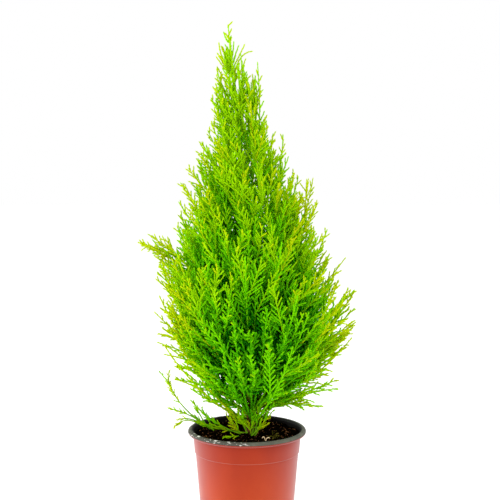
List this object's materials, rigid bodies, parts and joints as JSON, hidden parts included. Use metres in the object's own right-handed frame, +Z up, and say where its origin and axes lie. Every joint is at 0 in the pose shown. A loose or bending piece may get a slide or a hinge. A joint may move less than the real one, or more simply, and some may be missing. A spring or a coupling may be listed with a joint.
{
  "type": "potted young cypress",
  "caption": "Young feathery lime-green cypress with a leaning trunk and ascending boughs of foliage, standing in a round tapered nursery pot with a rolled lip.",
  "frame": {"origin": "centre of the pot's flat underside", "axes": "+Z up along the plant, -Y towards the viewer of the picture, +X to the right in it"},
  "size_m": [0.2232, 0.2173, 0.5623],
  "materials": {
    "pot": "satin terracotta-coloured plastic",
    "soil": "rough moist potting soil",
    "bark": "thin reddish-brown bark",
    "foliage": "fine lime-green scale shoots"
  },
  "bodies": {
    "root": {"bough_01": "bark", "bough_02": "bark", "bough_03": "bark", "bough_04": "bark", "bough_05": "bark", "bough_06": "bark", "bough_07": "bark", "bough_08": "bark", "bough_09": "bark", "bough_10": "bark", "bough_11": "bark", "bough_12": "bark", "bough_13": "bark", "bough_14": "bark", "bough_15": "bark", "bough_16": "bark", "bough_17": "bark", "bough_18": "bark", "bough_19": "bark", "bough_20": "bark", "bough_foot_left": "bark", "bough_foot_right": "bark", "bough_left_arm": "bark", "bough_low_left": "bark", "bough_low_right": "bark", "bough_right_arm": "bark", "bough_right_spire": "bark", "bough_second_leader": "bark", "foliage_01": "foliage", "foliage_02": "foliage", "foliage_03": "foliage", "foliage_04": "foliage", "foliage_05": "foliage", "foliage_06": "foliage", "foliage_07": "foliage", "foliage_08": "foliage", "foliage_09": "foliage", "foliage_10": "foliage", "foliage_11": "foliage", "foliage_12": "foliage", "foliage_13": "foliage", "foliage_14": "foliage", "foliage_15": "foliage", "foliage_16": "foliage", "foliage_17": "foliage", "foliage_18": "foliage", "foliage_19": "foliage", "foliage_20": "foliage", "foliage_foot_left": "foliage", "foliage_foot_right": "foliage", "foliage_leader": "foliage", "foliage_left_arm": "foliage", "foliage_low_left": "foliage", "foliage_low_right": "foliage", "foliage_right_arm": "foliage", "foliage_right_spire": "foliage", "foliage_second_leader": "foliage", "pot": "pot", "soil": "soil", "trunk": "bark"}
  },
  "joints": []
}
